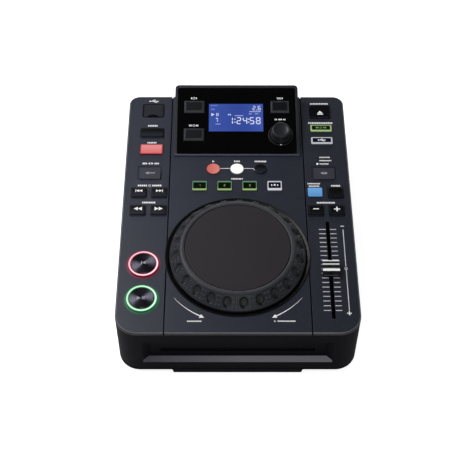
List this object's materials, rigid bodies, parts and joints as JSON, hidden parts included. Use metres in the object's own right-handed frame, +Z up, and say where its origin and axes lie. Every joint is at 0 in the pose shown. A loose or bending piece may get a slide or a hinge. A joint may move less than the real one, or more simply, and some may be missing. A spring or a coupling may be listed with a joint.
{
  "type": "slot-in disc player",
  "caption": "Tabletop DJ disc player: slot-in drive, dimpled jog wheel, pitch fader, lit cue and play keys and a tilted display hood.",
  "frame": {"origin": "on the table, in the middle of the case's plan, under the feet", "axes": "+X to the player's right, +Y to the back of the player, +Z up"},
  "size_m": [0.22, 0.288, 0.0884],
  "materials": {
    "case_black": "fine moulded texture",
    "tray_black": "powder coated steel",
    "deck_paint": "satin charcoal paint on aluminium plate",
    "hood_plastic": "satin charcoal plastic",
    "fascia_gloss": "polished black acrylic",
    "lcd_glass": "backlit blue display",
    "key_black": "moulded black",
    "key_black_gloss": "gloss black cap",
    "key_red_lit": "lit translucent red",
    "key_white": "white cap",
    "key_green_lit": "lit green border round a dark window",
    "key_blue_lit": "lit translucent blue",
    "ring_lit": "lit translucent ring",
    "knob_black": "ribbed moulded knob",
    "jog_black": "cup under the wheel",
    "wheel_grey": "moulded charcoal with finger dimples",
    "plate_grey": "satin touch plate",
    "rubber_black": "moulded rubber",
    "steel": "turned or ground",
    "zinc_steel": "zinc plated sheet",
    "board_green": "glass fibre circuit board with parts",
    "socket_black": "moulded socket bodies",
    "drive_plastic": "moulded drive parts"
  },
  "bodies": {
    "case": {"base_tray": "tray_black", "feet": "rubber_black", "case_screws": "steel", "case_shell": "case_black", "deck_left": "deck_paint", "deck_right": "deck_paint", "deck_centre": "deck_paint", "light_rings": "ring_lit", "pitch_fader": "zinc_steel", "jog_bezel": "jog_black", "jog_bearing": "steel", "display_hood": "hood_plastic", "display_fascia": "fascia_gloss", "lcd_module": "lcd_glass", "switch_boards": "board_green", "drive_chassis": "zinc_steel", "drive_dampers": "rubber_black", "drive_cover": "zinc_steel", "drive_motors": "zinc_steel", "main_board": "board_green", "power_supply": "board_green", "rear_jacks": "socket_black"},
    "btn_single": {"btn_single": "key_black"},
    "btn_brake": {"btn_brake": "key_red_lit"},
    "btn_reverse": {"btn_reverse": "key_black"},
    "btn_track_back": {"btn_track_back": "key_black"},
    "btn_track_forward": {"btn_track_forward": "key_black"},
    "btn_search_back": {"btn_search_back": "key_black"},
    "btn_search_forward": {"btn_search_forward": "key_black"},
    "btn_eject": {"btn_eject": "key_black"},
    "btn_source_disc": {"btn_source_disc": "key_green_lit"},
    "btn_source_usb": {"btn_source_usb": "key_white"},
    "btn_jog_mode": {"btn_jog_mode": "key_black"},
    "btn_master_tempo": {"btn_master_tempo": "key_blue_lit"},
    "btn_pitch_range": {"btn_pitch_range": "key_black"},
    "btn_bend_down": {"btn_bend_down": "key_black"},
    "btn_bend_up": {"btn_bend_up": "key_black"},
    "btn_hot_1": {"btn_hot_1": "key_green_lit"},
    "btn_hot_2": {"btn_hot_2": "key_green_lit"},
    "btn_hot_3": {"btn_hot_3": "key_green_lit"},
    "btn_memo": {"btn_memo": "key_white"},
    "btn_loop_in": {"btn_loop_in": "key_red_lit"},
    "btn_loop_out": {"btn_loop_out": "key_white"},
    "btn_reloop": {"btn_reloop": "key_black_gloss"},
    "btn_cue": {"btn_cue": "key_black"},
    "btn_play": {"btn_play": "key_black"},
    "btn_time": {"btn_time": "key_black_gloss"},
    "btn_repeat": {"btn_repeat": "key_black_gloss"},
    "btn_program": {"btn_program": "key_black_gloss"},
    "select_shaft": {"select_shaft": "steel"},
    "select_knob": {"select_knob": "knob_black"},
    "fader_cap": {"fader_cap": "key_black"},
    "jog": {"jog_wheel": "wheel_grey", "jog_plate": "plate_grey"},
    "power_rocker": {"power_rocker": "key_black"},
    "usb_cover": {"usb_cover": "rubber_black"},
    "spindle_hub": {"spindle_hub": "drive_plastic"},
    "disc_clamper": {"disc_clamper": "drive_plastic"},
    "pickup_sled": {"pickup_sled": "drive_plastic"},
    "loading_roller": {"loading_roller": "rubber_black"}
  },
  "joints": [
    {"name": "btn_single_press", "type": "slide", "parent": "case", "child": "btn_single", "axis": [0, 0, -1], "range_m": [0, 0.0012], "stiffness_N_per_m": 400, "springref_m": -0.0005},
    {"name": "btn_brake_press", "type": "slide", "parent": "case", "child": "btn_brake", "axis": [0, 0, -1], "range_m": [0, 0.0012], "stiffness_N_per_m": 400, "springref_m": -0.0005},
    {"name": "btn_reverse_press", "type": "slide", "parent": "case", "child": "btn_reverse", "axis": [0, 0, -1], "range_m": [0, 0.0012], "stiffness_N_per_m": 400, "springref_m": -0.0005},
    {"name": "btn_track_back_press", "type": "slide", "parent": "case", "child": "btn_track_back", "axis": [0, 0, -1], "range_m": [0, 0.0012], "stiffness_N_per_m": 400, "springref_m": -0.0005},
    {"name": "btn_track_forward_press", "type": "slide", "parent": "case", "child": "btn_track_forward", "axis": [0, 0, -1], "range_m": [0, 0.0012], "stiffness_N_per_m": 400, "springref_m": -0.0005},
    {"name": "btn_search_back_press", "type": "slide", "parent": "case", "child": "btn_search_back", "axis": [0, 0, -1], "range_m": [0, 0.0012], "stiffness_N_per_m": 400, "springref_m": -0.0005},
    {"name": "btn_search_forward_press", "type": "slide", "parent": "case", "child": "btn_search_forward", "axis": [0, 0, -1], "range_m": [0, 0.0012], "stiffness_N_per_m": 400, "springref_m": -0.0005},
    {"name": "btn_eject_press", "type": "slide", "parent": "case", "child": "btn_eject", "axis": [0, 0, -1], "range_m": [0, 0.0012], "stiffness_N_per_m": 400, "springref_m": -0.0005},
    {"name": "btn_source_disc_press", "type": "slide", "parent": "case", "child": "btn_source_disc", "axis": [0, 0, -1], "range_m": [0, 0.0012], "stiffness_N_per_m": 400, "springref_m": -0.0005},
    {"name": "btn_source_usb_press", "type": "slide", "parent": "case", "child": "btn_source_usb", "axis": [0, 0, -1], "range_m": [0, 0.0012], "stiffness_N_per_m": 400, "springref_m": -0.0005},
    {"name": "btn_jog_mode_press", "type": "slide", "parent": "case", "child": "btn_jog_mode", "axis": [0, 0, -1], "range_m": [0, 0.0012], "stiffness_N_per_m": 400, "springref_m": -0.0005},
    {"name": "btn_master_tempo_press", "type": "slide", "parent": "case", "child": "btn_master_tempo", "axis": [0, 0, -1], "range_m": [0, 0.0012], "stiffness_N_per_m": 400, "springref_m": -0.0005},
    {"name": "btn_pitch_range_press", "type": "slide", "parent": "case", "child": "btn_pitch_range", "axis": [0, 0, -1], "range_m": [0, 0.0012], "stiffness_N_per_m": 400, "springref_m": -0.0005},
    {"name": "btn_bend_down_press", "type": "slide", "parent": "case", "child": "btn_bend_down", "axis": [0, 0, -1], "range_m": [0, 0.0012], "stiffness_N_per_m": 400, "springref_m": -0.0005},
    {"name": "btn_bend_up_press", "type": "slide", "parent": "case", "child": "btn_bend_up", "axis": [0, 0, -1], "range_m": [0, 0.0012], "stiffness_N_per_m": 400, "springref_m": -0.0005},
    {"name": "btn_hot_1_press", "type": "slide", "parent": "case", "child": "btn_hot_1", "axis": [0, 0, -1], "range_m": [0, 0.0012], "stiffness_N_per_m": 400, "springref_m": -0.0005},
    {"name": "btn_hot_2_press", "type": "slide", "parent": "case", "child": "btn_hot_2", "axis": [0, 0, -1], "range_m": [0, 0.0012], "stiffness_N_per_m": 400, "springref_m": -0.0005},
    {"name": "btn_hot_3_press", "type": "slide", "parent": "case", "child": "btn_hot_3", "axis": [0, 0, -1], "range_m": [0, 0.0012], "stiffness_N_per_m": 400, "springref_m": -0.0005},
    {"name": "btn_memo_press", "type": "slide", "parent": "case", "child": "btn_memo", "axis": [0, 0, -1], "range_m": [0, 0.0012], "stiffness_N_per_m": 400, "springref_m": -0.0005},
    {"name": "btn_loop_in_press", "type": "slide", "parent": "case", "child": "btn_loop_in", "axis": [0, 0, -1], "range_m": [0, 0.0012], "stiffness_N_per_m": 400, "springref_m": -0.0005},
    {"name": "btn_loop_out_press", "type": "slide", "parent": "case", "child": "btn_loop_out", "axis": [0, 0, -1], "range_m": [0, 0.0012], "stiffness_N_per_m": 400, "springref_m": -0.0005},
    {"name": "btn_reloop_press", "type": "slide", "parent": "case", "child": "btn_reloop", "axis": [0, 0, -1], "range_m": [0, 0.0012], "stiffness_N_per_m": 400, "springref_m": -0.0005},
    {"name": "btn_cue_press", "type": "slide", "parent": "case", "child": "btn_cue", "axis": [0, 0, -1], "range_m": [0, 0.0012], "stiffness_N_per_m": 400, "springref_m": -0.0005},
    {"name": "btn_play_press", "type": "slide", "parent": "case", "child": "btn_play", "axis": [0, 0, -1], "range_m": [0, 0.0012], "stiffness_N_per_m": 400, "springref_m": -0.0005},
    {"name": "btn_time_press", "type": "slide", "parent": "case", "child": "btn_time", "axis": [0, 0.1994, -0.9799], "range_m": [0, 0.0012], "stiffness_N_per_m": 400, "springref_m": -0.0005},
    {"name": "btn_repeat_press", "type": "slide", "parent": "case", "child": "btn_repeat", "axis": [0, 0.1994, -0.9799], "range_m": [0, 0.0012], "stiffness_N_per_m": 400, "springref_m": -0.0005},
    {"name": "btn_program_press", "type": "slide", "parent": "case", "child": "btn_program", "axis": [0, 0.1994, -0.9799], "range_m": [0, 0.0012], "stiffness_N_per_m": 400, "springref_m": -0.0005},
    {"name": "select_push", "type": "slide", "parent": "case", "child": "select_shaft", "axis": [0, 0.1994, -0.9799], "range_m": [0, 0.0006], "stiffness_N_per_m": 1200, "springref_m": -0.0005},
    {"name": "select_turn", "type": "hinge", "parent": "select_shaft", "child": "select_knob", "pos_m": [0.0439, 0.08453, 0.07605], "axis": [0, -0.1994, 0.9799], "continuous": true},
    {"name": "pitch_slide", "type": "slide", "parent": "case", "child": "fader_cap", "axis": [0, 1, 0], "range_m": [-0.0481, 0.0519]},
    {"name": "jog_turn", "type": "hinge", "parent": "case", "child": "jog", "pos_m": [0, -0.0593, 0.0698], "axis": [0, 0, 1], "continuous": true},
    {"name": "power_rock", "type": "hinge", "parent": "case", "child": "power_rocker", "pos_m": [-0.052, 0.1375, 0.028], "axis": [-1, 0, 0], "range_deg": [0, 16]},
    {"name": "usb_cover_hinge", "type": "hinge", "parent": "case", "child": "usb_cover", "pos_m": [-0.085, 0.1315, 0.0698], "axis": [-1, 0, 0], "range_deg": [0, 100]},
    {"name": "spindle_turn", "type": "hinge", "parent": "case", "child": "spindle_hub", "pos_m": [0, -0.045, 0.0321], "axis": [0, 0, 1], "continuous": true},
    {"name": "clamper_turn", "type": "hinge", "parent": "case", "child": "disc_clamper", "pos_m": [0, -0.045, 0.046], "axis": [0, 0, 1], "continuous": true},
    {"name": "sled_slide", "type": "slide", "parent": "case", "child": "pickup_sled", "axis": [0, 1, 0], "range_m": [0, 0.035]},
    {"name": "roller_turn", "type": "hinge", "parent": "case", "child": "loading_roller", "pos_m": [0, -0.12, 0.0268], "axis": [1, 0, 0], "continuous": true}
  ],
  "couplings": [
    {"joint": "clamper_turn", "follows": "spindle_turn", "ratio": 1}
  ]
}
